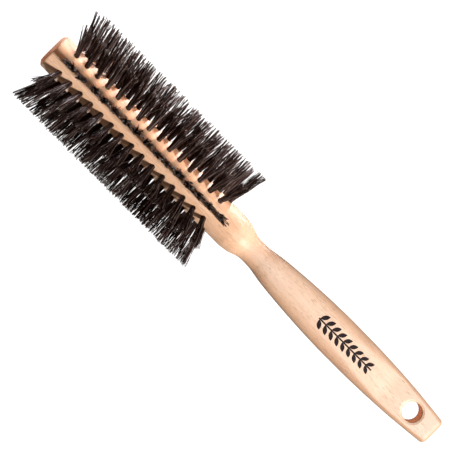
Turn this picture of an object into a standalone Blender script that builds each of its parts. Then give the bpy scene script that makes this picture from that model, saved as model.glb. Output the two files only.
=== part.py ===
"""Round barrel brush: one turned beech body with ten rows of bristle tufts.

Metres, +Z up. The origin is the centre of the flat tip face, on the barrel's
axis, and the handle points along +X. The grip's broad faces look along +Z and
-Z, and the hanging hole runs through them along Z.

Each row is built as if it stood straight up along +Z, then turned about X.
"""

import math

import bmesh
import bpy
from mathutils import Matrix

MM = 0.001  # all dimensions below are in mm, angles in degrees
NAME = "round_barrel_brush"

# ---------------------------------------------------------------- rows
ROWS = 10
ROW_STEP = 360.0 / ROWS
ROW_1_ANGLE = 0.0           # from +Z towards +Y
TUFTS_PER_ROW = 15
TUFT_PITCH = 6.18
ODD_ROW_START = 12.85       # the first tuft's X
FIRST_TUFT_X = (ODD_ROW_START, ODD_ROW_START - TUFT_PITCH / 2)  # odd rows, even rows

# ---------------------------------------------------------------- body
BARREL_RADIUS = 8.5
TIP_CHAMFER = 1.0
TIP_RADIUS = BARREL_RADIUS - TIP_CHAMFER
HOLE_FACET = 19.0           # the broad facet that takes a row's holes
BETWEEN_FACET = (ROW_STEP - HOLE_FACET) / 2  # two of these lie between rows
GRIP_FACE = 5.2             # planed half thickness around the hanging hole

# The body from tip to grip: X, half width (Y), half thickness (Z), half distance
# between the planed faces (no effect where it exceeds the half thickness), and
# the squareness of the section (2 is an ellipse, more is boxier).
STATIONS = (
    (0.0, TIP_RADIUS, TIP_RADIUS, 9.0, 2.0),
    (TIP_CHAMFER, BARREL_RADIUS, BARREL_RADIUS, 9.0, 2.0),
    (109.0, BARREL_RADIUS, BARREL_RADIUS, 9.0, 2.0),
    (112.6, 8.10, 8.10, 9.0, 2.0),
    (114.4, 7.78, 7.78, 9.0, 2.0),
    (116.1, 7.19, 7.19, 9.0, 2.0),
    (117.8, 6.56, 6.56, 9.0, 2.0),
    (119.6, 6.13, 6.13, 9.0, 2.0),
    (122.2, 5.93, 5.93, 9.0, 2.0),
    (126.4, 6.14, 6.10, 9.0, 2.0),
    (130.0, 6.70, 6.52, 9.0, 2.0),
    (134.3, 7.36, 6.90, 9.0, 2.05),
    (143.0, 8.20, 7.25, 8.6, 2.1),
    (151.7, 8.85, 7.45, 8.0, 2.1),
    (162.6, 9.42, 7.55, 7.6, 2.15),
    (174.0, 9.70, 7.50, 7.0, 2.15),
    (186.7, 9.66, 7.45, 6.4, 2.2),
    (199.0, 9.32, 7.20, 5.7, 2.3),
    (207.0, 8.93, 7.05, GRIP_FACE, 2.35),
    (215.5, 8.38, 6.95, GRIP_FACE, 2.4),
    (225.0, 7.47, 6.80, GRIP_FACE, 2.4),
    (231.6, 6.78, 6.60, GRIP_FACE, 2.4),
)
HANDLE_END = 234.1
# The rounded handle end: distance short of the end, then what comes off the last
# station's half width, half thickness and planed half thickness.
END_ROUNDING = (
    (0.675, 0.225, 0.2, 0.0),
    (0.0, 1.5, 1.2, 0.9),
)

# ---------------------------------------------------------------- cuts
HANG_HOLE_X = 220.2
HANG_HOLE_RADIUS = 4.45
HANG_HOLE_CHAMFER = 0.9
HANG_HOLE_SEGMENTS = 28
HANG_CUTTER_OVERRUN = 3.0   # past each grip face

TUFT_HOLE_RADIUS = 1.2
TUFT_HOLE_FLOOR = 3.5       # from the barrel's axis
TUFT_CUTTER_TOP = BARREL_RADIUS + 2.0
TUFT_SIDES = 6

CHANNEL_WIDTH = 1.1
CHANNEL_OVERRUN = 2.0       # past the first and last tuft

# ---------------------------------------------------------------- tufts and wires
BRISTLE_RADIUS = 26.6       # from the barrel's axis to the bristle ends
ROOT_RADIUS = 0.85
ROOT_HALF_LENGTH = ROOT_RADIUS * 0.866  # along the row, to the hexagon's flats
ROOT_BOTTOM = 5.0           # from the barrel's axis
FAN_HALF_DEPTH = 1.75       # across the row, at the ends
FAN_OVERLAP = 0.25          # how far each fan runs past its border with the next
FIRST_LEAN = 12.0           # towards the tip, first tuft of a row
LAST_LEAN = 10.0            # towards the handle, last tuft of a row
LEAN_FADE = 0.42            # each next tuft leans this much of the one before
OUTER_SPREAD = 2.5          # the free side of the first and last fan

WIRE_WIDTH = 0.5            # square wire
WIRE_DISTANCE = 4.4         # from the barrel's axis
WIRE_OVERRUN = 1.6          # past the first and last tuft


# ---------------------------------------------------------------- helpers
def clear_scene():
    for obj in list(bpy.data.objects):
        bpy.data.objects.remove(obj, do_unlink=True)


def add_collection(name):
    made = bpy.data.collections.new(name)
    bpy.context.scene.collection.children.link(made)
    return made


def add_object(name, data, where):
    obj = bpy.data.objects.new(name, data)
    where.objects.link(obj)
    return obj


def object_from(bm, name, where):
    bmesh.ops.recalc_face_normals(bm, faces=bm.faces)
    mesh = bpy.data.meshes.new(name)
    bm.to_mesh(mesh)
    bm.free()
    return add_object(name, mesh, where)


def as_cutter(obj):
    obj.hide_render = True
    obj.display_type = "WIRE"
    return obj


def boolean(obj, other, operation):
    modifier = obj.modifiers.new(f"{operation.lower()}_{other.name}", "BOOLEAN")
    modifier.operation = operation
    modifier.solver = "EXACT"
    modifier.object = other


def add_loft(bm, outlines):
    """A closed solid through outlines of equally many points, given in mm."""
    loops = [
        [bm.verts.new([value * MM for value in point]) for point in outline]
        for outline in outlines
    ]
    for near, far in zip(loops, loops[1:]):
        for i in range(len(near)):
            j = (i + 1) % len(near)
            bm.faces.new((near[i], near[j], far[j], far[i]))
    bm.faces.new(loops[0])
    bm.faces.new(loops[-1])


# ---------------------------------------------------------------- materials
def material(name, colour, roughness, metallic=0.0):
    made = bpy.data.materials.new(name)
    made.use_nodes = True
    shader = made.node_tree.nodes["Principled BSDF"]
    shader.inputs["Base Color"].default_value = (*colour, 1.0)
    shader.inputs["Roughness"].default_value = roughness
    shader.inputs["Metallic"].default_value = metallic
    made.diffuse_color = (*colour, 1.0)
    return made


def beech_material():
    return material("beech", colour=(0.80, 0.56, 0.34), roughness=0.45)


def bristle_material():
    return material("bristle", colour=(0.018, 0.012, 0.011), roughness=0.5)


def wire_material():
    return material("anchor_wire", colour=(0.55, 0.54, 0.52), roughness=0.35, metallic=1.0)


# ---------------------------------------------------------------- row layout
def row_angle(row):
    """Degrees from +Z towards +Y."""
    return ROW_1_ANGLE + ROW_STEP * row


def row_turn(row):
    return Matrix.Rotation(-math.radians(row_angle(row)), 4, "X")


def tuft_xs(phase):
    """The tufts' places along a row; phase is 0 for odd rows, 1 for even rows."""
    return [FIRST_TUFT_X[phase] + TUFT_PITCH * k for k in range(TUFTS_PER_ROW)]


# ---------------------------------------------------------------- the turned body
def facet_edges():
    """The body's lengthwise edges, in degrees from +Z towards +Y."""
    edges = []
    for row in range(ROWS):
        first = row_angle(row) - HOLE_FACET / 2
        second = first + HOLE_FACET
        edges += [first, second, second + BETWEEN_FACET]
    return edges


def signed_power(value, power):
    return math.copysign(abs(value) ** power, value)


def body_outline(x, half_width, half_thickness, planed, squareness):
    points = []
    for turn in map(math.radians, facet_edges()):
        y = half_width * signed_power(math.sin(turn), 2 / squareness)
        z = half_thickness * signed_power(math.cos(turn), 2 / squareness)
        points.append((x, y, max(-planed, min(planed, z))))
    return points


def end_stations():
    _, half_width, half_thickness, planed, squareness = STATIONS[-1]
    return [
        (
            HANDLE_END - short,
            half_width - off_width,
            half_thickness - off_thickness,
            planed - off_planed,
            squareness,
        )
        for short, off_width, off_thickness, off_planed in END_ROUNDING
    ]


def make_body(parts, beech):
    bm = bmesh.new()
    add_loft(bm, [body_outline(*station) for station in (*STATIONS, *end_stations())])
    body = object_from(bm, "brush_body", parts)
    body.data.materials.append(beech)
    body.data.shade_smooth()
    body.data.set_sharp_from_angle(angle=math.radians(32.0))
    return body


def hang_hole_cutter(cutters):
    """A bore with a 45 degree countersink at each face, as a turned profile."""
    top = GRIP_FACE + HANG_CUTTER_OVERRUN
    bore_top = GRIP_FACE - HANG_HOLE_CHAMFER
    wide = HANG_HOLE_RADIUS + HANG_HOLE_CHAMFER + HANG_CUTTER_OVERRUN
    profile = (  # radius, Z
        (0.0, top),
        (wide, top),
        (HANG_HOLE_RADIUS, bore_top),
        (HANG_HOLE_RADIUS, -bore_top),
        (wide, -top),
        (0.0, -top),
    )
    mesh = bpy.data.meshes.new("hang_hole_profile")
    mesh.from_pydata(
        [(radius * MM, 0.0, z * MM) for radius, z in profile],
        [(i, i + 1) for i in range(len(profile) - 1)],
        [],
    )
    cutter = add_object("hang_hole_cutter", mesh, cutters)
    cutter.location = (HANG_HOLE_X * MM, 0.0, 0.0)
    screw = cutter.modifiers.new("turn", "SCREW")
    screw.steps = screw.render_steps = HANG_HOLE_SEGMENTS
    screw.use_merge_vertices = True
    screw.merge_threshold = 0.00001
    return as_cutter(cutter)


def tuft_hole_cutter(cutters):
    """All the blind holes, drilled towards the axis."""
    bm = bmesh.new()
    middle = (TUFT_HOLE_FLOOR + TUFT_CUTTER_TOP) / 2
    for row in range(ROWS):
        for x in tuft_xs(row % 2):
            # create_cone puts a corner on +Y, so the hexagon's flats look along X.
            bmesh.ops.create_cone(
                bm,
                cap_ends=True,
                segments=TUFT_SIDES,
                radius1=TUFT_HOLE_RADIUS * MM,
                radius2=TUFT_HOLE_RADIUS * MM,
                depth=(TUFT_CUTTER_TOP - TUFT_HOLE_FLOOR) * MM,
                matrix=row_turn(row) @ Matrix.Translation((x * MM, 0.0, middle * MM)),
            )
    return as_cutter(object_from(bm, "tuft_hole_cutter", cutters))


def channel_cutter(cutters):
    """The channel along each row, under its tufts, that its anchor wire lies in."""
    bm = bmesh.new()
    for row in range(ROWS):
        xs = tuft_xs(row % 2)
        middle = (xs[0] + xs[-1]) / 2
        length = xs[-1] - xs[0] + 2 * CHANNEL_OVERRUN
        size = Matrix.Diagonal((length * MM, CHANNEL_WIDTH * MM, CHANNEL_WIDTH * MM, 1.0))
        place = Matrix.Translation((middle * MM, 0.0, WIRE_DISTANCE * MM))
        bmesh.ops.create_cube(bm, size=1.0, matrix=row_turn(row) @ place @ size)
    return as_cutter(object_from(bm, "channel_cutter", cutters))


# ---------------------------------------------------------------- bristles
def fan_limits(phase):
    """Each tuft's X, and where its bristle ends start and stop along the row."""
    reach = BRISTLE_RADIUS - BARREL_RADIUS
    last = TUFTS_PER_ROW - 1
    xs = tuft_xs(phase)
    ends = []
    for k, x in enumerate(xs):
        lean = LAST_LEAN * LEAN_FADE ** (last - k) - FIRST_LEAN * LEAN_FADE**k
        ends.append(x + reach * math.tan(math.radians(lean)))
    borders = [(near + far) / 2 for near, far in zip(ends, ends[1:])]
    starts = [ends[0] - OUTER_SPREAD] + [border - FAN_OVERLAP for border in borders]
    stops = [border + FAN_OVERLAP for border in borders] + [ends[-1] + OUTER_SPREAD]
    return list(zip(xs, starts, stops))


def hexagon(z, low, high, half_depth):
    """Flats at X low and high, corners at plus and minus half_depth in Y."""
    middle = (low + high) / 2
    return (
        (high, -half_depth / 2, z),
        (high, half_depth / 2, z),
        (middle, half_depth, z),
        (low, half_depth / 2, z),
        (low, -half_depth / 2, z),
        (middle, -half_depth, z),
    )


def add_tuft(bm, x, start, stop):
    """A six-sided tuft: straight in its hole, then fanning out to its ends."""
    root = (x - ROOT_HALF_LENGTH, x + ROOT_HALF_LENGTH, ROOT_RADIUS)
    outlines = (
        hexagon(ROOT_BOTTOM, *root),
        hexagon(BARREL_RADIUS, *root),
        hexagon(BRISTLE_RADIUS, start, stop, FAN_HALF_DEPTH),
    )
    add_loft(bm, outlines)


def row_mesh(phase, bristle, cutters):
    """One row's tufts joined into one body where their fans meet.

    Neighbouring fans overlap, so every other tuft goes into each of two
    objects, which are then united.
    """
    halves = []
    for half in (0, 1):
        bm = bmesh.new()
        for limits in fan_limits(phase)[half::2]:
            add_tuft(bm, *limits)
        halves.append(object_from(bm, f"row_guide_{phase}_{half}", cutters))
    boolean(halves[0], halves[1], "UNION")
    graph = bpy.context.evaluated_depsgraph_get()
    mesh = bpy.data.meshes.new_from_object(halves[0].evaluated_get(graph))
    mesh.name = f"bristle_row_{('odd', 'even')[phase]}"
    for obj in halves:
        bpy.data.objects.remove(obj, do_unlink=True)
    mesh.materials.clear()  # the union may leave empty slots
    mesh.materials.append(bristle)
    return mesh


def wire_curve(phase, wire):
    xs = tuft_xs(phase)
    curve = bpy.data.curves.new(f"anchor_wire_{phase}", "CURVE")
    curve.dimensions = "3D"
    # The coarsest bevel is a square; its radius is half the wire's diagonal.
    curve.bevel_depth = WIRE_WIDTH / math.sqrt(2) * MM
    curve.bevel_resolution = 0
    curve.use_fill_caps = True
    line = curve.splines.new("POLY")
    line.points.add(1)
    for point, x in zip(line.points, (xs[0] - WIRE_OVERRUN, xs[-1] + WIRE_OVERRUN)):
        point.co = (x * MM, 0.0, WIRE_DISTANCE * MM, 1.0)
        point.tilt = math.radians(45.0)
    curve.materials.append(wire)
    return curve


def place_row(row, mesh, curve, parts):
    """A row's tufts and wire, turned into place by an empty on the axis."""
    number = f"{row + 1:02d}"
    axis = add_object(f"row_{number}_axis", None, parts)
    axis.empty_display_size = 0.01
    axis.rotation_euler = (-math.radians(row_angle(row)), 0.0, 0.0)
    add_object(f"bristle_row_{number}", mesh, parts).parent = axis
    add_object(f"anchor_wire_row_{number}", curve, parts).parent = axis


# ---------------------------------------------------------------- assembly
def main():
    clear_scene()
    parts = add_collection(NAME)
    cutters = add_collection(f"{NAME}_cutters")

    body = make_body(parts, beech_material())
    for make_cutter in (hang_hole_cutter, tuft_hole_cutter, channel_cutter):
        boolean(body, make_cutter(cutters), "DIFFERENCE")

    bristle = bristle_material()
    wire = wire_material()
    meshes = [row_mesh(phase, bristle, cutters) for phase in (0, 1)]
    curves = [wire_curve(phase, wire) for phase in (0, 1)]
    for row in range(ROWS):
        place_row(row, meshes[row % 2], curves[row % 2], parts)
    bpy.context.view_layer.update()


main()
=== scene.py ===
"""Looks of the round barrel brush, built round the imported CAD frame.

The origin is the centre of the flat tip face, the handle points along +X, and
the grip's broad front face looks along +Z. The brush is dimensioned in
millimetres and built in metres; the stage at the end is laid out in metres.
"""

import math
from functools import partialmethod
from typing import NamedTuple

import bmesh
import bpy
import numpy as np
from mathutils import Matrix, Vector


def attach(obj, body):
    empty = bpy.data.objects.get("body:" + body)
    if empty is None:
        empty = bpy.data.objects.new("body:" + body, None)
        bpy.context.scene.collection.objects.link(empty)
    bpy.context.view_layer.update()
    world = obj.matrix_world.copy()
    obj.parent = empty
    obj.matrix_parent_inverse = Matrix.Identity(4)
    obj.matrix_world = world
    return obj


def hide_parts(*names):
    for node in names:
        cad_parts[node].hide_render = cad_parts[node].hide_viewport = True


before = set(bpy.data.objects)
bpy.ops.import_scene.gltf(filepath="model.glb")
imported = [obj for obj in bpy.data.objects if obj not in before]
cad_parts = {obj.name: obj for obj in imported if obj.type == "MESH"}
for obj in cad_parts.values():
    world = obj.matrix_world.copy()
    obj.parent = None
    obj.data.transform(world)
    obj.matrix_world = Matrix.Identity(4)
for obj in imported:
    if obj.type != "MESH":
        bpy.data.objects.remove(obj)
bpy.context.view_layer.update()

MM = 0.001
MM_PER_METRE = 1000.0

# ------------------------------------------------------------------ dimensions
BARREL_RADIUS = 8.5
TIP_FACE_X, TIP_CHAMFER = 0.06, 1.95
TIP_FACE_SHARES = (0.35, 0.7, 0.9)  # rings on the flat tip face, by radius
# The chamfer with its two corners eased: distance along it and drop below the
# barrel's radius, both as shares of TIP_CHAMFER.
TIP_EDGE = (
    (0.0, 1.05), (0.012, 0.99), (0.05, 0.92), (0.25, 0.64), (0.50, 0.315), (0.58, 0.225),
    (0.66, 0.148), (0.75, 0.082), (0.85, 0.033), (0.96, 0.008), (1.08, 0.0),
)
# Distance from the tip face, half width (Y), half thickness (Z), half distance
# between the planed faces, squareness of the section.
STATIONS = (
    (109.0, 8.50, 8.50, 10.0, 2.0),
    (112.6, 8.10, 8.10, 10.0, 2.0),
    (114.4, 7.78, 7.78, 10.0, 2.0),
    (116.1, 7.19, 7.19, 10.0, 2.0),
    (117.8, 6.56, 6.56, 10.0, 2.0),
    (119.6, 6.13, 6.13, 10.0, 2.0),
    (122.2, 5.93, 5.93, 10.0, 2.0),
    (126.4, 6.14, 6.10, 10.0, 2.0),
    (130.0, 6.70, 6.52, 10.0, 2.0),
    (134.3, 7.36, 6.90, 9.4, 2.05),
    (143.0, 8.20, 7.25, 8.6, 2.1),
    (151.7, 8.85, 7.45, 8.0, 2.1),
    (162.6, 9.42, 7.55, 7.6, 2.15),
    (174.0, 9.70, 7.50, 7.0, 2.15),
    (186.7, 9.66, 7.45, 6.4, 2.35),
    (199.0, 9.32, 7.20, 5.7, 2.6),
    (207.0, 8.93, 7.05, 5.2, 2.7),
    (215.5, 8.38, 6.95, 5.2, 2.7),
    (225.0, 7.47, 6.80, 5.2, 2.7),
    (231.6, 6.78, 6.60, 5.2, 2.6),
)
HANDLE_START, LAST_STATION = STATIONS[0][0], STATIONS[-1][0]
BARREL_STEP, HANDLE_STEP = 3.0, 0.7  # between rings
ROUND, UNPLANED = 2.0, 99  # a circular section that no plane reaches
PLANE_BLEND = 0.16  # softness of the edge between a planed face and the rest
CORNER_CROWDING = 0.09  # moves ring points towards the corners of a square section
RING_POINTS = 144

HANDLE_END, END_CROWN = 234.1, 0.35
END_ROUNDING, END_ROUNDING_STEPS = 1.35, 8
END_FLATTENING = 0.95  # how far the end rounding draws Z in, against Y
END_TAPER_LENGTH = 2.1  # taper carried on from the last station to the end face
END_FACE_SHARES = (0.85, 0.6, 0.3)

HANG_HOLE_X, HANG_HOLE_RADIUS, HANG_HOLE_ROUNDING = 220.2, 4.45, 0.9
HANG_HOLE_STEP = 0.17  # depth at which the rounding starts
HANG_HOLE_ROUNDING_STEPS, HANG_HOLE_SEGMENTS = 7, 96

# The rows are drilled a little unevenly: degrees from +Z towards +Y.
ROW_TURNS = (0.0, 37.3, 73.2, 108.8, 144.2, 180.0, 215.8, 251.2, 286.8, 322.7)
ROWS = len(ROW_TURNS)
TUFTS_PER_ROW, TUFT_PITCH = 15, 6.18
FIRST_TUFT_X = (12.85, 9.76)  # alternate rows are staggered
# Distances are from the barrel's axis; the cutter stands clear of the surface.
HOLE_RADIUS, HOLE_FLOOR, HOLE_TOP, HOLE_SEGMENTS = 1.25, 3.5, BARREL_RADIUS + 2, 20
WIRE_DISTANCE, CHANNEL_WIDTH, CHANNEL_OVERRUN = 4.4, 1.1, 2.0


def row_turn(row):
    return math.radians(ROW_TURNS[row])


def tuft_xs(row):
    return [FIRST_TUFT_X[row % 2] + TUFT_PITCH * k for k in range(TUFTS_PER_ROW)]


def link_object(name, mesh):
    obj = bpy.data.objects.new(name, mesh)
    bpy.context.scene.collection.objects.link(obj)
    return obj


# ------------------------------------------------------------------ turned body
def monotone(column, x):
    """Monotone cubic through one column of the stations, level at the barrel."""
    xs = [row[0] for row in STATIONS]
    ys = [row[column] for row in STATIONS]
    slopes = [(ys[i + 1] - ys[i]) / (xs[i + 1] - xs[i]) for i in range(len(xs) - 1)]
    tangents = [0.0]
    for before, after in zip(slopes, slopes[1:]):
        tangents.append(0.0 if before * after <= 0 else 2 * before * after / (before + after))
    tangents.append(slopes[-1])
    i = max(k for k in range(len(xs) - 1) if xs[k] <= x)
    gap = xs[i + 1] - xs[i]
    t = (x - xs[i]) / gap
    return (
        ys[i] * (1 + 2 * t) * (1 - t) ** 2
        + tangents[i] * gap * t * (1 - t) ** 2
        + ys[i + 1] * t * t * (3 - 2 * t)
        + tangents[i + 1] * gap * t * t * (t - 1)
    )


def section_at(x):
    """Half width, half thickness, planed half distance and squareness at x."""
    return [monotone(column, x) for column in (1, 2, 3, 4)]


def section_ring(x, half_width, half_thickness, planed, squareness):
    """One smooth ring of the body: a superellipse with its broad faces planed."""
    turn = np.linspace(0, 2 * math.pi, RING_POINTS, endpoint=False)
    turn = turn - CORNER_CROWDING * (squareness - 2.0) / 2.0 * np.sin(4 * turn)
    sine, cosine = np.sin(turn), np.cos(turn)
    y = half_width * np.sign(sine) * np.abs(sine) ** (2 / squareness)
    z = half_thickness * np.sign(cosine) * np.abs(cosine) ** (2 / squareness)
    # A smooth minimum of the height and the planed face.
    height = -PLANE_BLEND * np.log(
        np.exp(-np.abs(z) / PLANE_BLEND) + np.exp(-planed / PLANE_BLEND)
    )
    height = np.maximum(height, 0.0)
    z = np.where(np.abs(z) < 1e-9, 0.0, np.sign(z) * height)
    return np.stack([np.full(RING_POINTS, x), y, z], axis=1)


def round_ring(x, radius):
    return section_ring(x, radius, radius, UNPLANED, ROUND)


def handle_end_rings():
    """Rounded corners, then a slightly crowned face."""
    width, thickness, planed, squareness = STATIONS[-1][1:]
    slope = (width - STATIONS[-2][1]) / (LAST_STATION - STATIONS[-2][0])
    rings = []
    for k in range(END_ROUNDING_STEPS + 1):
        angle = math.pi / 2 * k / END_ROUNDING_STEPS
        x = HANDLE_END - END_CROWN - END_ROUNDING * (1 - math.sin(angle))
        drop = END_ROUNDING * (1 - math.cos(angle)) - slope * (x - LAST_STATION)
        flat_drop = drop * END_FLATTENING
        rings.append(
            section_ring(x, width - drop, thickness - flat_drop, planed - flat_drop, squareness)
        )
    width = width - END_ROUNDING + slope * END_TAPER_LENGTH
    thickness = thickness - END_ROUNDING * END_FLATTENING
    planed = planed - END_ROUNDING * END_FLATTENING
    for share in END_FACE_SHARES:
        x = HANDLE_END - END_CROWN * share**2
        rings.append(section_ring(x, width * share, thickness * share, planed * share, squareness))
    return rings


def body_rings():
    face_radius = BARREL_RADIUS - TIP_CHAMFER
    rings = [round_ring(TIP_FACE_X, face_radius * share) for share in TIP_FACE_SHARES]
    for along, drop in TIP_EDGE:
        x = TIP_FACE_X + TIP_CHAMFER * along
        rings.append(round_ring(x, BARREL_RADIUS - TIP_CHAMFER * drop))
    for x in np.arange(BARREL_STEP, HANDLE_START, BARREL_STEP):
        rings.append(round_ring(x, BARREL_RADIUS))
    for x in np.arange(HANDLE_START, LAST_STATION, HANDLE_STEP):
        rings.append(section_ring(x, *section_at(x)))
    return rings + handle_end_rings()


def rings_to_object(name, rings, material):
    """Joins a stack of rings and closes each end with a fan."""
    count = len(rings[0])
    centres = [rings[0].mean(axis=0)[None], rings[-1].mean(axis=0)[None]]
    points = np.concatenate([*rings, *centres])
    start, end = len(points) - 2, len(points) - 1
    last = (len(rings) - 1) * count
    faces = []
    for low in range(0, last, count):
        high = low + count
        for i in range(count):
            j = (i + 1) % count
            faces.append((low + i, low + j, high + j, high + i))
    for i in range(count):
        j = (i + 1) % count
        faces.append((start, j, i))
        faces.append((end, last + i, last + j))

    mesh = bpy.data.meshes.new(name)
    mesh.from_pydata([tuple(p) for p in points * MM], [], faces)
    mesh.materials.append(material)
    mesh.update()
    obj = link_object(name, mesh)
    mesh.shade_smooth()
    bm = bmesh.new()
    bm.from_mesh(mesh)
    bmesh.ops.recalc_face_normals(bm, faces=bm.faces)
    bm.to_mesh(mesh)
    bm.free()
    return obj


# ------------------------------------------------------------------ cutters
def cutter(name, bm, *materials):
    bmesh.ops.recalc_face_normals(bm, faces=bm.faces)
    mesh = bpy.data.meshes.new(name)
    bm.to_mesh(mesh)
    bm.free()
    for material in materials:
        mesh.materials.append(material)
    mesh.shade_smooth()
    return link_object(name, mesh)


def rows_cutter(name, material, add_row):
    """Adds each row's shapes along +Z, then turns them to the row's place."""
    bm = bmesh.new()
    for row in range(ROWS):
        before = set(bm.verts)
        add_row(bm, tuft_xs(row))
        bmesh.ops.rotate(
            bm,
            verts=[v for v in bm.verts if v not in before],
            cent=(0, 0, 0),
            matrix=Matrix.Rotation(-row_turn(row), 3, "X"),
        )
    return cutter(name, bm, material)


def add_tuft_holes(bm, xs):
    for x in xs:
        bmesh.ops.create_cone(
            bm,
            cap_ends=True,
            segments=HOLE_SEGMENTS,
            radius1=HOLE_RADIUS * MM,
            radius2=HOLE_RADIUS * MM,
            depth=(HOLE_TOP - HOLE_FLOOR) * MM,
            matrix=Matrix.Translation((x * MM, 0, (HOLE_TOP + HOLE_FLOOR) / 2 * MM)),
        )


def add_wire_channel(bm, xs):
    length = xs[-1] - xs[0] + 2 * CHANNEL_OVERRUN
    middle = Matrix.Translation(((xs[0] + xs[-1]) / 2 * MM, 0, WIRE_DISTANCE * MM))
    size = Matrix.Diagonal((length * MM, CHANNEL_WIDTH * MM, CHANNEL_WIDTH * MM, 1.0))
    bmesh.ops.create_cube(bm, size=1.0, matrix=middle @ size)


def hang_hole_cutter(wall, rim):
    """The bore with a rounded-over edge at each face."""
    face = section_at(HANG_HOLE_X)[2]
    mouth = HANG_HOLE_RADIUS + HANG_HOLE_ROUNDING
    # (radius, z) from above the +Z face down to the bore.
    upper = [(mouth + 3.0, face + 3.0), (mouth + 0.5, face + 0.05), (mouth + 0.22, face + 0.01)]
    for k in range(HANG_HOLE_ROUNDING_STEPS + 1):
        angle = math.pi / 2 * k / HANG_HOLE_ROUNDING_STEPS
        radius = HANG_HOLE_RADIUS + HANG_HOLE_ROUNDING * (1 - math.sin(angle))
        fall = (HANG_HOLE_ROUNDING - HANG_HOLE_STEP) * (1 - math.cos(angle))
        upper.append((radius, face - HANG_HOLE_STEP - fall))
    profile = upper + [(radius, -z) for radius, z in reversed(upper)]

    bm = bmesh.new()
    rings = []
    for radius, z in profile:
        ring = []
        for i in range(HANG_HOLE_SEGMENTS):
            angle = 2 * math.pi * i / HANG_HOLE_SEGMENTS
            x, y = HANG_HOLE_X + radius * math.cos(angle), radius * math.sin(angle)
            ring.append(bm.verts.new((x * MM, y * MM, z * MM)))
        rings.append(ring)
    for band, (high, low) in enumerate(zip(rings, rings[1:])):
        for i in range(HANG_HOLE_SEGMENTS):
            j = (i + 1) % HANG_HOLE_SEGMENTS
            made = bm.faces.new((high[i], low[i], low[j], high[j]))
            # The straight wall lies between the two halves of the profile.
            made.material_index = 0 if band == len(upper) - 1 else 1
    for cap in (rings[0], rings[-1][::-1]):
        bm.faces.new(cap).material_index = 1
    return cutter("hang_hole_cutter", bm, wall, rim)


def cut(obj, tool):
    """Subtracts the tool, whose materials line the cut, and removes it."""
    modifier = obj.modifiers.new("cut", "BOOLEAN")
    modifier.operation = "DIFFERENCE"
    modifier.solver = "MANIFOLD"
    modifier.material_mode = "TRANSFER"
    modifier.object = tool
    graph = bpy.context.evaluated_depsgraph_get()
    mesh = bpy.data.meshes.new_from_object(obj.evaluated_get(graph))
    obj.modifiers.clear()
    old = obj.data
    obj.data = mesh
    bpy.data.meshes.remove(old)
    bpy.data.objects.remove(tool, do_unlink=True)


# ------------------------------------------------------------------ node writing
class Signal:
    """A node's output; arithmetic on it adds Math nodes."""

    def __init__(self, shading, socket):
        self.shading = shading
        self.socket = socket

    def apply(self, operation, other=None):
        node = self.shading.node("ShaderNodeMath", operation=operation)
        self.shading.feed(self, node.inputs[0])
        if other is not None:
            self.shading.feed(other, node.inputs[1])
        return Signal(self.shading, node.outputs[0])

    __add__ = partialmethod(apply, "ADD")
    __sub__ = partialmethod(apply, "SUBTRACT")
    __mul__ = partialmethod(apply, "MULTIPLY")
    __truediv__ = partialmethod(apply, "DIVIDE")
    __mod__ = partialmethod(apply, "FLOORED_MODULO")
    __pow__ = partialmethod(apply, "POWER")
    __abs__ = partialmethod(apply, "ABSOLUTE")

    def fade(self, over, to=(0.0, 1.0), smooth=True):
        """Maps the range `over` onto the range `to`, held beyond its ends."""
        kind = "SMOOTHSTEP" if smooth else "LINEAR"
        node = self.shading.node("ShaderNodeMapRange", interpolation_type=kind)
        for value, socket in zip((self, *over, *to), node.inputs):
            self.shading.feed(value, socket)
        return Signal(self.shading, node.outputs[0])


class Shading:
    """A material and a short way of writing its nodes; colours are RGB tuples."""

    def __init__(self, name):
        self.material = bpy.data.materials.new(name)
        self.material.use_nodes = True
        self.tree = self.material.node_tree
        self.shader = self.tree.nodes["Principled BSDF"]

    def node(self, kind, **settings):
        made = self.tree.nodes.new(kind)
        for key, value in settings.items():
            setattr(made, key, value)
        return made

    def feed(self, value, socket):
        if isinstance(value, Signal):
            self.tree.links.new(value.socket, socket)
        elif isinstance(value, tuple):
            socket.default_value = (*value, 1.0)
        else:
            socket.default_value = value

    def source(self, kind, output, **settings):
        return Signal(self, self.node(kind, **settings).outputs[output])

    def split(self, vector):
        node = self.node("ShaderNodeSeparateXYZ")
        self.feed(vector, node.inputs[0])
        return [Signal(self, socket) for socket in node.outputs]

    def mix(self, base, other, factor):
        node = self.node("ShaderNodeMix", data_type="RGBA", blend_type="MIX")
        inputs = {socket.identifier: socket for socket in node.inputs}
        outputs = {socket.identifier: socket for socket in node.outputs}
        self.feed(factor, inputs["Factor_Float"])
        self.feed(base, inputs["A_Color"])
        self.feed(other, inputs["B_Color"])
        return Signal(self, outputs["Result_Color"])

    def noise(self, size, offset=(0, 0, 0), detail=2.0, roughness=0.5):
        """Noise in object space; size is that of a feature in mm, by axis."""
        place = self.source("ShaderNodeTexCoord", "Object")
        mapping = self.node("ShaderNodeMapping")
        self.feed(place, mapping.inputs["Vector"])
        mapping.inputs["Scale"].default_value = [MM_PER_METRE / s for s in size]
        mapping.inputs["Location"].default_value = offset
        node = self.node("ShaderNodeTexNoise")
        self.feed(Signal(self, mapping.outputs[0]), node.inputs["Vector"])
        self.feed(1.0, node.inputs["Scale"])
        self.feed(detail, node.inputs["Detail"])
        self.feed(roughness, node.inputs["Roughness"])
        return Signal(self, node.outputs[0])

    def set(self, **values):
        for key, value in values.items():
            self.feed(value, self.shader.inputs[key.replace("_", " ")])

    def bump(self, height, strength, distance):
        node = self.node("ShaderNodeBump")
        self.feed(strength, node.inputs["Strength"])
        self.feed(distance, node.inputs["Distance"])
        self.feed(height, node.inputs["Height"])
        self.feed(Signal(self, node.outputs[0]), self.shader.inputs["Normal"])


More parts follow.
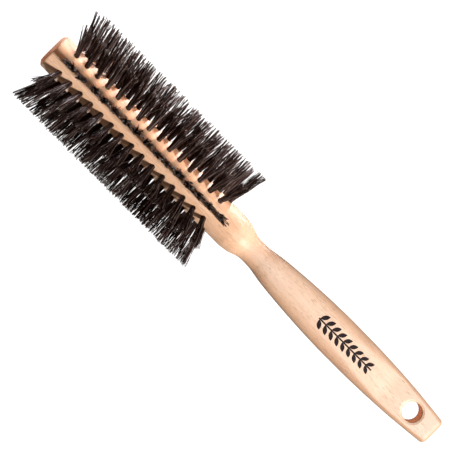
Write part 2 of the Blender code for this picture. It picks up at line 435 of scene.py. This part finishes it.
# ------------------------------------------------------------------ wood
LIGHT_WOOD = (0.92, 0.610, 0.412)
DARK_WOOD = (0.86, 0.517, 0.322)
FIBRE_WOOD = (0.74, 0.41, 0.24)
LATE_WOOD = (0.68, 0.38, 0.21)
FINE_GRAIN = (0.66, 0.36, 0.20)
# The colour of the painted sheen on the grip's broad faces.
PAINTED_SHEEN_COLOUR = (0.95, 0.85, 0.76)
PORE = (0.55, 0.34, 0.20)
FLECK = (0.40, 0.24, 0.15)
# Darker end grain, also used for painted shade at the butt.
END_GRAIN_AND_SHADE = (0.70, 0.38, 0.23)
INK = (0.014, 0.007, 0.008)

# Growth rings: cylinders about a pith beside the brush, in mm.
PITH_Y, PITH_Z = -52.0, -34.0
RING_WIDTH, RING_WANDER, RING_TAPER = 3.1, 9.0, 0.035

# The printed sprig, in mm, and its leaf angle in degrees.
MARK_X, MARK_HALF = 178.1, 16.0
LEAF_PITCH, LEAF_CENTRE, LEAF_ANGLE = 3.55, 1.92, 48
LEAF_HALF_LENGTH, LEAF_HALF_BREADTH = 2.25, 1.00


def late_wood(shade, x, y, z):
    """The dark late part of each growth ring."""
    wander = (shade.noise(size=(70, 22, 22)) - 0.5) * RING_WANDER
    from_y = y + -PITH_Y
    from_z = z + -PITH_Z
    reach = (from_y * from_y + from_z * from_z).apply("SQRT")
    reach = reach + wander + x * RING_TAPER
    ring = (reach / RING_WIDTH).apply("FRACT")
    return ring.fade(over=(0.45, 0.97)) * ring.fade(over=(1.0, 0.975))


def ornament(x, y, z):
    """A printed sprig: a thin stem with solid leaves in pairs."""
    along = x - MARK_X
    away = abs(along)
    aside = abs(y)
    cell = (along + LEAF_PITCH / 2) % LEAF_PITCH - LEAF_PITCH / 2
    scale = along.fade(over=(-MARK_HALF, MARK_HALF), to=(1.06, 0.80), smooth=False)
    across = aside / scale - LEAF_CENTRE
    turn = math.radians(LEAF_ANGLE)
    long = cell * math.cos(turn) + across * math.sin(turn)
    wide = across * math.cos(turn) - cell * math.sin(turn)
    long = long / LEAF_HALF_LENGTH
    wide = abs(wide) / LEAF_HALF_BREADTH
    # Pointed at both ends: the breadth falls with the square of the length.
    leaf = (wide + long * long).fade(over=(0.93, 1.07), to=(1.0, 0.0))
    leaf = leaf * away.fade(over=(MARK_HALF - 0.15, MARK_HALF), to=(1.0, 0.0))
    stem = aside.fade(over=(0.30, 0.42), to=(1.0, 0.0))
    stem = stem * away.fade(over=(MARK_HALF, MARK_HALF + 0.4), to=(1.0, 0.0))
    return leaf.apply("MAXIMUM", stem) * z.apply("GREATER_THAN", 0.0)


# pale switches on the painted sheen of the grip's broad faces.
def wood(name, printed=True, tone=(1.0, 1.0, 1.0), pale=True):
    shade = Shading(name)

    # Colours are scaled by tone, which the bore uses for painted bounce light.
    def toned(colour):
        return tuple(c * t for c, t in zip(colour, tone))

    place = shade.source("ShaderNodeTexCoord", "Object")
    x, y, z = (axis * MM_PER_METRE for axis in shade.split(place))
    late = late_wood(shade, x, y, z)

    # Long fibres, cloudy tone, and the short dark rays that mark beech.
    fibre = shade.noise(size=(14, 0.55, 0.55), detail=4.0, roughness=0.66)
    cloud = shade.noise(size=(38, 9, 9), offset=(7, 3, 1))
    ray = shade.noise(size=(2.9, 0.30, 0.30), offset=(11, 5, 2), detail=1.0, roughness=0.4)
    patch = shade.noise(size=(16, 5, 5), offset=(3, 9, 4), detail=1.0)
    rays = ray.fade(over=(0.615, 0.665)) * patch.fade(over=(0.36, 0.58), to=(0.35, 1.0))
    pore = shade.noise(size=(1.5, 0.20, 0.20), offset=(1, 2, 8), detail=1.0)
    pores = pore.fade(over=(0.60, 0.70))
    fine = shade.noise(size=(4.5, 0.24, 0.24), offset=(4, 4, 9)).fade(over=(0.44, 0.68))

    base = shade.mix(toned(LIGHT_WOOD), toned(DARK_WOOD), cloud.fade(over=(0.30, 0.72)))
    base = shade.mix(base, toned(FIBRE_WOOD), fibre.fade(over=(0.40, 0.66)) * 0.58)
    base = shade.mix(base, toned(LATE_WOOD), late * 0.26)
    # The fine grain shows less on the handle than on the barrel.
    fine_amount = x.fade(over=(104.0, 126.0), to=(0.36, 0.14))
    base = shade.mix(base, toned(FINE_GRAIN), fine * fine_amount)

    # Painted sheen: the broad faces of the grip are painted paler than its edges, by an amount
    # that changes along the grip.
    normal = shade.source("ShaderNodeNewGeometry", "Normal")
    normal_x, _, normal_z = shade.split(normal)
    if pale:
        flat = abs(normal_z) ** 5.5
        painted_sheen = (
            x.fade(over=(108.0, 134.0), to=(0.0, 0.38))
            + x.fade(over=(134.0, 152.0), to=(0.0, -0.11))
            + x.fade(over=(198.0, 230.0), to=(0.0, 0.16))
        )
        # Painted sheen, mixed in by facing and by place along the grip.
        base = shade.mix(base, PAINTED_SHEEN_COLOUR, flat * painted_sheen)
    base = shade.mix(base, toned(PORE), pores * 0.24)
    base = shade.mix(base, FLECK, rays * 0.58)

    # End grain drinks the lacquer and goes darker. Part of this darkening, most of all at the butt
    # that faces the key light, is painted shade that tones down the lit end.
    end = abs(normal_x).fade(over=(0.18, 0.75)) * 0.47
    butt = normal_x.fade(over=(0.04, 0.34)) * x.fade(over=(230.8, 232.2))
    base = shade.mix(base, toned(END_GRAIN_AND_SHADE), end + butt * 0.62)

    gloss = butt.fade(over=(0.0, 1.0), to=(0.40, 0.12))
    if printed:
        mark = ornament(x, y, z)
        worn = shade.noise(size=(0.55, 0.3, 0.3), detail=3.0)
        base = shade.mix(base, INK, mark * worn.fade(over=(0.22, 0.40), to=(0.86, 1.0)))
        gloss = gloss * mark.fade(over=(0.0, 1.0), to=(1.0, 0.35))
    shade.set(
        Base_Color=base,
        Roughness=fibre * 0.16 + 0.46 + rays * 0.12,
        Specular_IOR_Level=gloss,
        Coat_Weight=butt.fade(over=(0.0, 1.0), to=(0.06, 0.0)),
        Coat_Roughness=0.42,
    )
    shade.bump(fibre * 0.5 + (rays + pores) * -0.6, strength=0.25, distance=0.00008)
    return shade.material


def hole_wood_painted_shade():
    """The drilled, unlacquered wood inside the tuft holes, painted dark brown as the shade of the
    deep holes.
    """
    shade = Shading("hole_wood_painted_shade")
    grain = shade.noise(size=(1.2, 0.4, 0.4), detail=3.0)
    # Painted shade: dark browns for the inside of the holes.
    base = shade.mix((0.16, 0.085, 0.045), (0.30, 0.17, 0.09), grain)
    shade.set(Base_Color=base, Roughness=0.85, Specular_IOR_Level=0.2)
    shade.bump(grain, strength=0.3, distance=0.0001)
    return shade.material


# ------------------------------------------------------------------ bristle and steel
# The pale strand colour and the pale cut-end colour are painted highlights.
BRISTLE_DARK, BRISTLE_LIGHT = (0.0190, 0.0090, 0.0072), (0.046, 0.0220, 0.0172)
BRISTLE_GLINT, BRISTLE_STREAK = (0.190, 0.137, 0.122), (0.0110, 0.0058, 0.0050)
BRISTLE_END_DARK, BRISTLE_END_GLINT = (0.030, 0.021, 0.018), (0.66, 0.58, 0.52)
STEEL_DARK, STEEL_LIGHT = (0.46, 0.45, 0.43), (0.62, 0.61, 0.59)


def bristle_material():
    """Dark strands, of which those with the highest tone are pale: painted highlights on single
    strands.
    """
    shade = Shading("bristle")
    tone = shade.source("ShaderNodeAttribute", "Fac", attribute_name="tone")
    streak = shade.noise(size=(0.8, 0.8, 0.8))
    base = shade.mix(BRISTLE_DARK, BRISTLE_LIGHT, tone.fade(over=(0.05, 0.80)))
    # Painted highlight: the palest strands stand in for glints of light.
    base = shade.mix(base, BRISTLE_GLINT, tone.fade(over=(0.80, 0.87)))
    base = shade.mix(base, BRISTLE_STREAK, streak.fade(over=(0.35, 0.7)) * 0.35)
    shade.set(
        Base_Color=base,
        Roughness=streak.fade(over=(0.2, 0.8), to=(0.34, 0.50)),
        Specular_IOR_Level=tone.fade(over=(0.70, 0.95), to=(0.10, 0.40)),
    )
    relief = shade.noise(size=(0.12, 0.12, 0.12), detail=1.0)
    shade.bump(relief, strength=0.15, distance=0.00003)
    return shade.material


def bristle_end_material():
    """The cut ends, with pale specks painted on as glints of light."""
    shade = Shading("bristle_end")
    tone = shade.noise(size=(0.5, 0.5, 0.5), offset=(2, 6, 3))
    # Painted highlight: pale specks on the cut ends.
    base = shade.mix(BRISTLE_END_DARK, BRISTLE_END_GLINT, tone.fade(over=(0.50, 0.64)))
    shade.set(Base_Color=base, Roughness=0.42, Specular_IOR_Level=0.5)
    return shade.material


def steel():
    shade = Shading("anchor_steel")
    drawn = shade.noise(size=(6.0, 0.06, 0.06), detail=3.0)
    shade.set(
        Base_Color=shade.mix(STEEL_DARK, STEEL_LIGHT, drawn),
        Metallic=1.0,
        Roughness=drawn.fade(over=(0.3, 0.7), to=(0.26, 0.44)),
    )
    shade.bump(drawn, strength=0.2, distance=0.00002)
    return shade.material


# ------------------------------------------------------------------ bristles
SIDES, LEVELS = 5, 6  # of each bristle's tube
FIRST_SEED = 7100
BRISTLE_RADIUS = 26.6  # of the brush over its bristles
ROOT_DISTANCE, ROOT_SPREAD = 5.4, 1.05  # roots: from the axis, and about the tuft's
CLUMPS_PER_TUFT = 10
GOLDEN_ANGLE, FULL_TURN = 2.399963, 6.28

TUFT_LEAN_SPREAD = 0.9  # degrees
CLUMP_SPREAD_X, CLUMP_SPREAD_Y, CLUMP_CUT_SPREAD = 0.36, 0.28, 0.60
EXTRA_LENGTH, LENGTH_SPREAD = 0.60, 0.50
SHORT_SHARE, SHORT_BY = 0.24, (0.6, 5.5)  # some bristles fall short
JITTER_Y = 0.15
STRAY_SHARE, STRAY_SPREAD_X, STRAY_SPREAD_Y = 0.05, 1.5, 0.8
BOW_X, BOW_Y, SECOND_WAVE = 0.20, 0.18, 0.35
STRAND_RADIUS, STRAND_SPREAD, STRAND_LIMITS = 0.145, 0.018, (0.10, 0.20)
END_THINNING, THINNING_POWER = 0.45, 1.6
END_SLANT = 0.35

# How tufts lean along the barrel, in degrees towards the handle: (distance from
# the tip, lean). Both ends lean out past the holes. "Near" rows are the +Y and
# -Y ones closest to the XZ plane, "side" rows those closest to the XY plane.
LEAN_FACING = (
    (9.0, -11.0), (13.0, -10.0), (19.0, -5.0), (25.0, -0.5), (85.0, 0.5), (93.0, 1.5),
    (99.5, 6.5),
)
LEAN_PLUS_Y_NEAR = (
    (9.0, -11.5), (16.0, -9.0), (28.0, -7.0), (42.0, -6.5), (52.0, -5.5), (61.0, -2.5),
    (72.0, -0.3), (90.0, 0.5), (97.0, 4.0),
)
LEAN_PLUS_Y_SIDE = (
    (9.0, -16.5), (16.0, -13.0), (28.0, -9.5), (42.0, -7.0), (52.0, -5.0), (61.0, -2.0),
    (72.0, -0.3), (90.0, 0.5), (96.0, 3.0), (99.5, 5.5),
)
LEAN_MINUS_Y_NEAR = (
    (9.0, -12.0), (16.0, -8.0), (24.0, -4.5), (40.0, -3.0), (55.0, -2.0), (68.0, 0.0),
    (78.0, 3.5), (90.0, 7.0), (97.0, 12.5),
)
LEAN_MINUS_Y_SIDE = (
    (9.0, -21.0), (16.0, -12.0), (24.0, -5.5), (40.0, -3.5), (55.0, -2.5), (68.0, -0.5),
    (82.0, 1.5), (90.0, 4.5), (96.0, 8.0), (99.5, 11.0),
)


class RowStyle(NamedTuple):
    count: int  # bristles in a tuft
    spread_x: float  # how far clumps part at the tips
    spread_y: float
    cling: tuple  # range of the spread within a clump
    shift_y: float
    jitter_x: float
    tone_power: float  # lower gives more pale bristles


# The facing row and the +Y rows get more pale strands than the -Y rows: painted highlights where
# the light falls on the brush.
FRONT_STYLE = RowStyle(92, 4.20, 1.75, (0.35, 1.05), 0.12, 0.20, 0.50)
PLUS_Y_STYLE = RowStyle(72, 3.05, 1.40, (0.15, 0.65), 0.0, 0.10, 0.50)
OTHER_STYLE = RowStyle(72, 3.25, 1.40, (0.35, 1.05), 0.0, 0.20, 1.1)


def row_style(row):
    if row == 0:
        return FRONT_STYLE
    return PLUS_Y_STYLE if row < 5 else OTHER_STYLE


def lean_at(row, x):
    """A tuft's lean, from the row's side of the brush and the tuft's place in it."""
    side = math.sin(row_turn(row))
    if abs(side) < 0.1:
        table = LEAN_FACING
    elif abs(side) < 0.7:
        table = LEAN_PLUS_Y_NEAR if side > 0 else LEAN_MINUS_Y_NEAR
    else:
        table = LEAN_PLUS_Y_SIDE if side > 0 else LEAN_MINUS_Y_SIDE
    return np.interp(x, *zip(*table))


def sunflower(count, radius, rng):
    """Points that fill a disc evenly, so that none coincide."""
    i = np.arange(count)
    out = np.sqrt((i + 0.5) / count) * radius
    turn = i * GOLDEN_ANGLE + rng.uniform(0, FULL_TURN)
    return out * np.cos(turn), out * np.sin(turn)


def tuft(row, x, rng):
    """Roots, tips, leans, bows, phases and radii of one tuft's bristles."""
    style = row_style(row)
    count = style.count
    reach = BRISTLE_RADIUS - BARREL_RADIUS
    lean = lean_at(row, x) + rng.normal(0, TUFT_LEAN_SPREAD)
    side = rng.normal(0, TUFT_LEAN_SPREAD)
    root_x, root_y = sunflower(count, ROOT_SPREAD, rng)
    roots = np.stack([x + root_x, root_y, np.full(count, ROOT_DISTANCE)], 1)

    # Bristles cling together in clumps, each with its own length.
    middle_x, middle_y = sunflower(CLUMPS_PER_TUFT, 1.0, rng)
    distance = (root_x[:, None] - middle_x) ** 2 + (root_y[:, None] - middle_y) ** 2
    clump = np.argmin(distance, axis=1)
    clump_x = middle_x * style.spread_x + rng.normal(0, CLUMP_SPREAD_X, CLUMPS_PER_TUFT)
    clump_y = middle_y * style.spread_y + rng.normal(0, CLUMP_SPREAD_Y, CLUMPS_PER_TUFT)
    clump_cut = np.abs(rng.normal(0, CLUMP_CUT_SPREAD, CLUMPS_PER_TUFT))
    cling = rng.uniform(*style.cling, CLUMPS_PER_TUFT)[clump]
    short = np.where(rng.random(count) < SHORT_SHARE, rng.uniform(*SHORT_BY, count), 0.0)
    uneven = np.abs(rng.normal(0, LENGTH_SPREAD, count))
    length = reach + EXTRA_LENGTH - clump_cut[clump] - uneven - short

    share = length / reach
    leans = np.stack([math.tan(math.radians(angle)) * length for angle in (lean, side)], 1)
    spread_x = clump_x[clump] + (root_x - middle_x[clump]) * cling
    spread_y = clump_y[clump] + (root_y - middle_y[clump]) * cling - style.shift_y
    tip_x = x + share * spread_x + leans[:, 0] + rng.normal(0, style.jitter_x, count)
    tip_y = share * spread_y + leans[:, 1] + rng.normal(0, JITTER_Y, count)
    stray = rng.random(count) < STRAY_SHARE
    tip_x += np.where(stray, rng.normal(0, STRAY_SPREAD_X, count), 0.0)
    tip_y += np.where(stray, rng.normal(0, STRAY_SPREAD_Y, count), 0.0)
    tips = np.stack([tip_x, tip_y, BARREL_RADIUS + length], 1)

    bows = np.stack([rng.normal(0, BOW_X, count), rng.normal(0, BOW_Y, count)], 1)
    phases = rng.uniform(0, FULL_TURN, count)
    radii = rng.normal(STRAND_RADIUS, STRAND_SPREAD, count).clip(*STRAND_LIMITS)
    return roots, tips, leans, bows, phases, radii


def bristle_tubes(roots, tips, leans, bows, phases, radii, rng):
    """Tube points by bristle, level and side, for a row that stands along +Z."""
    t = np.linspace(0, 1, LEVELS)[None, :]
    surface = ((BARREL_RADIUS - ROOT_DISTANCE) / (tips[:, 2] - ROOT_DISTANCE))[:, None]
    # Straight in the hole; then the lean is straight and the spread opens out.
    along = np.clip((t - surface) / (1 - surface), 0, 1)
    open_out = (0.42 * along + 0.58 * along**2)[..., None]
    spread = tips[:, :2] - leans - roots[:, :2]
    centre = np.empty((len(roots), LEVELS, 3))
    centre[..., :2] = (
        roots[:, None, :2] + leans[:, None] * along[..., None] + spread[:, None] * open_out
    )
    centre[..., 2] = roots[:, None, 2] + (tips - roots)[:, None, 2] * t
    wave = np.sin(along * math.pi)
    wave = wave + SECOND_WAVE * np.sin(along * 2 * math.pi + phases[:, None])
    centre[..., :2] += bows[:, None] * wave[..., None]

    thick = (radii[:, None] * (1.0 - END_THINNING * along**THINNING_POWER))[..., None]
    turn = np.linspace(0, 2 * math.pi, SIDES, endpoint=False) + phases[:, None, None]
    points = np.repeat(centre[:, :, None], SIDES, axis=2)
    points[..., 0] += thick * np.cos(turn)
    points[..., 1] += thick * np.sin(turn)
    # Cut ends are a little slanted.
    slant = rng.normal(0, END_SLANT, (len(roots), 1))
    points[:, -1, :, 2] += slant * (points[:, -1, :, 0] - centre[:, -1, None, 0])
    return points


def turned_to_row(points, row):
    angle = row_turn(row)
    x, y, z = points.reshape(-1, 3).T
    turned_y = y * math.cos(angle) + z * math.sin(angle)
    turned_z = -y * math.sin(angle) + z * math.cos(angle)
    return np.stack([x, turned_y, turned_z], axis=1)


def tube_mesh(name, points, total, materials):
    """Tubes with both ends closed; the second material is on the outer ends."""
    first = np.arange(total)[:, None] * LEVELS * SIDES
    i = np.arange(SIDES)
    j = (i + 1) % SIDES
    low = first[:, :, None] + np.arange(LEVELS - 1)[None, :, None] * SIDES
    quads = np.stack([low + i, low + j, low + SIDES + j, low + SIDES + i], -1).reshape(-1, 4)
    ends = first + (LEVELS - 1) * SIDES + i
    starts = first + i[::-1]
    loops = np.concatenate([quads.ravel(), ends.ravel(), starts.ravel()]).astype(np.int32)
    sizes = np.concatenate([np.full(len(quads), 4), np.full(2 * total, SIDES)])
    loop_starts = np.concatenate([[0], np.cumsum(sizes)[:-1]]).astype(np.int32)
    slots = np.zeros(len(sizes), np.int32)
    slots[len(quads) : len(quads) + total] = 1
    smooth = np.ones(len(sizes), bool)
    smooth[len(quads) :] = False

    mesh = bpy.data.meshes.new(name)
    mesh.vertices.add(len(points))
    mesh.vertices.foreach_set("co", (points * MM).astype(np.float32).ravel())
    mesh.loops.add(len(loops))
    mesh.loops.foreach_set("vertex_index", loops)
    mesh.polygons.add(len(sizes))
    mesh.polygons.foreach_set("loop_start", loop_starts)
    for material in materials:
        mesh.materials.append(material)
    mesh.polygons.foreach_set("material_index", slots)
    mesh.polygons.foreach_set("use_smooth", smooth)
    mesh.update(calc_edges=True)
    mesh.validate()
    return mesh


def bristle_row(row, materials):
    """All the bristles of one row, as one piece."""
    rng = np.random.default_rng(FIRST_SEED + row)
    tufts = [tuft(row, x, rng) for x in tuft_xs(row)]
    points = bristle_tubes(*map(np.concatenate, zip(*tufts)), rng)
    total = len(points)
    name = f"bristles_row_{row + 1:02d}"
    mesh = tube_mesh(name, turned_to_row(points, row), total, materials)
    # One random tone for each bristle.
    tones = rng.random(total) ** row_style(row).tone_power
    tone = mesh.attributes.new("tone", "FLOAT", "POINT")
    tone.data.foreach_set("value", np.repeat(tones, LEVELS * SIDES).astype(np.float32))
    return link_object(name, mesh)


# ------------------------------------------------------------------ build
beech = wood("beech")
# The bore wall's wood is a lighter, warmer copy of the beech: painted bounce light inside the
# bore.
bore_wood_painted_light = wood("beech_bore_painted_light", printed=False, tone=(1.10, 1.02, 0.86), pale=False)
rim_wood = wood("beech_rim", printed=False)
drilled = hole_wood_painted_shade()

body = rings_to_object("turned_body", body_rings(), beech)
cut(body, hang_hole_cutter(bore_wood_painted_light, rim_wood))
cut(body, rows_cutter("tuft_hole_cutter", drilled, add_tuft_holes))
cut(body, rows_cutter("channel_cutter", drilled, add_wire_channel))
body.data.set_sharp_from_angle(angle=math.radians(40))
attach(body, "root")
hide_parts("brush_body")

bristle_materials = (bristle_material(), bristle_end_material())
for row in range(ROWS):
    piece = bristle_row(row, bristle_materials)
    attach(piece, "root")
    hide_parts(f"bristle_row_{row + 1:02d}")

metal = steel()
for row in range(ROWS):
    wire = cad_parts[f"anchor_wire_row_{row + 1:02d}"]
    # The frame may list a node by name or as the object itself.
    wire = bpy.data.objects[wire] if isinstance(wire, str) else wire
    for slot in wire.material_slots:
        slot.material = metal
    if not wire.material_slots:
        wire.data.materials.append(metal)


# ------------------------------------------------------------------ floor and world
FLOOR_SIZE, FLOOR_PLACE = 6.0, (0.11, 0, -0.30)


def mix_shaders(tree, factor, first, second):
    node = tree.nodes.new("ShaderNodeMixShader")
    for source, socket in zip((factor, first, second), node.inputs):
        tree.links.new(source, socket)
    return node.outputs[0]


def floor_material():
    """Grey to the light, glowing near white to the camera, clear from below."""
    shade = Shading("floor")
    shade.set(Base_Color=(0.30, 0.30, 0.30), Roughness=0.9, Specular_IOR_Level=0.1)
    tree = shade.tree
    grey = shade.shader.outputs[0]
    glow = shade.node("ShaderNodeEmission")
    glow.inputs["Color"].default_value = (1, 1, 1, 1)
    glow.inputs["Strength"].default_value = 0.97
    lit = shade.node("ShaderNodeAddShader")
    tree.links.new(grey, lit.inputs[0])
    tree.links.new(glow.outputs[0], lit.inputs[1])
    camera_ray = shade.node("ShaderNodeLightPath").outputs["Is Camera Ray"]
    seen = mix_shaders(tree, camera_ray, grey, lit.outputs[0])
    clear = shade.node("ShaderNodeBsdfTransparent").outputs[0]
    underside = shade.node("ShaderNodeNewGeometry").outputs["Backfacing"]
    surface = mix_shaders(tree, underside, seen, clear)
    tree.links.new(surface, tree.nodes["Material Output"].inputs["Surface"])
    return shade.material


def soft_studio():
    """A dim warm sky that the camera sees as white all round."""
    world = bpy.data.worlds.new("soft_studio")
    world.use_nodes = True
    tree = world.node_tree
    sky = tree.nodes["Background"]
    sky.inputs["Color"].default_value = (1.0, 0.74, 0.54, 1)
    sky.inputs["Strength"].default_value = 0.128
    wall = tree.nodes.new("ShaderNodeBackground")
    wall.inputs["Color"].default_value = (1, 1, 1, 1)
    wall.inputs["Strength"].default_value = 1.0
    camera_ray = tree.nodes.new("ShaderNodeLightPath").outputs["Is Camera Ray"]
    surface = mix_shaders(tree, camera_ray, sky.outputs[0], wall.outputs[0])
    tree.links.new(surface, tree.nodes["World Output"].inputs["Surface"])
    return world


bpy.ops.mesh.primitive_plane_add(size=FLOOR_SIZE, location=FLOOR_PLACE)
floor = bpy.context.object
floor.name = "floor"
floor.data.materials.append(floor_material())
bpy.context.scene.world = soft_studio()

# ------------------------------------------------------------------ lights
AIM = Vector((0.10865, -0.00045, 0.0))
HEAD = Vector((0.050, 0, 0))
TIP = Vector((0.001, 0, 0.004))
BELOW_TIP = TIP - Vector((0, 0, 0.002))


def place_light(name, kind, about, turn, distance, power, colour=(1, 1, 1), target=None):
    """Turn is azimuth, from +X (the handle) towards +Y, and elevation, in degrees."""
    azimuth, elevation = map(math.radians, turn)
    level = math.cos(elevation)
    direction = Vector(
        (math.cos(azimuth) * level, math.sin(azimuth) * level, math.sin(elevation))
    )
    light = bpy.data.lights.new(name, kind)
    light.energy = power
    light.color = colour
    obj = link_object(name, light)
    place = about + distance * direction
    obj.location = place
    obj.rotation_euler = ((target or about) - place).to_track_quat("-Z", "Y").to_euler()
    return light


def area(name, size, **placing):
    light = place_light(name, "AREA", **placing)
    light.shape = "DISK"
    light.size = size


def spot(name, radius, angle, blend, **placing):
    light = place_light(name, "SPOT", **placing)
    light.shadow_soft_size = radius
    light.spot_size = math.radians(angle)
    light.spot_blend = blend


area("key_handle_side", size=0.40, about=AIM, turn=(-2.0, 37), distance=3.0, power=150.0)
spot("side_on_head_1", radius=0.03, angle=12.5, blend=0.2,
     about=HEAD, turn=(82, -14), distance=0.6, power=26, colour=(0.93, 0.97, 1.08))
spot("rim_under", radius=0.02, angle=19, blend=0.3,
     about=HEAD, turn=(-92, -45), distance=0.35, power=2.2, colour=(1.0, 0.88, 0.78))
area("side_fill", size=0.6,
     about=AIM, turn=(90, 13), distance=1.3, power=3.3, colour=(0.90, 0.97, 1.07))
spot("tip_glance", radius=0.02, angle=3.4, blend=0.3,
     about=TIP, turn=(180, -10), distance=0.5, power=8.0, colour=(1.0, 0.54, 0.42))
spot("tip_side", radius=0.02, angle=3.4, blend=0.75, target=BELOW_TIP,
     about=TIP, turn=(112, -10), distance=0.5, power=20.0, colour=(0.66, 0.80, 1.05))
spot("warm_on_head", radius=0.04, angle=12.5, blend=0.2,
     about=HEAD, turn=(88, 12), distance=0.6, power=6.2, colour=(1.0, 0.46, 0.22))

# ------------------------------------------------------------------ camera
CAMERA_X, CAMERA_HEIGHT = 0.0236, 0.88
VIEW_TILT, CAMERA_ROLL = math.radians(1.5), math.radians(45.29)
SENSOR_WIDTH, LENS = 36.0, 160.904348  # mm


def add_camera():
    """Looks down at AIM, rolled so that the brush lies across the picture."""
    data = bpy.data.cameras.new("camera")
    data.sensor_width = SENSOR_WIDTH
    data.lens = LENS
    data.clip_start, data.clip_end = 0.01, 20
    camera = link_object("camera", data)
    place = Vector((CAMERA_X, AIM.y - CAMERA_HEIGHT * math.tan(VIEW_TILT), CAMERA_HEIGHT))
    back = (place - AIM).normalized()
    along = Vector((1, 0, 0)) - back.x * back
    along.normalize()
    sideways = back.cross(along)
    right = math.cos(CAMERA_ROLL) * along + math.sin(CAMERA_ROLL) * sideways
    up = -math.sin(CAMERA_ROLL) * along + math.cos(CAMERA_ROLL) * sideways
    axes = Matrix((right, up, back)).transposed()
    camera.matrix_world = Matrix.Translation(place) @ axes.to_4x4()
    return camera


bpy.context.scene.camera = add_camera()
bpy.context.scene.view_settings.view_transform = "Standard"

bpy.context.view_layer.update()
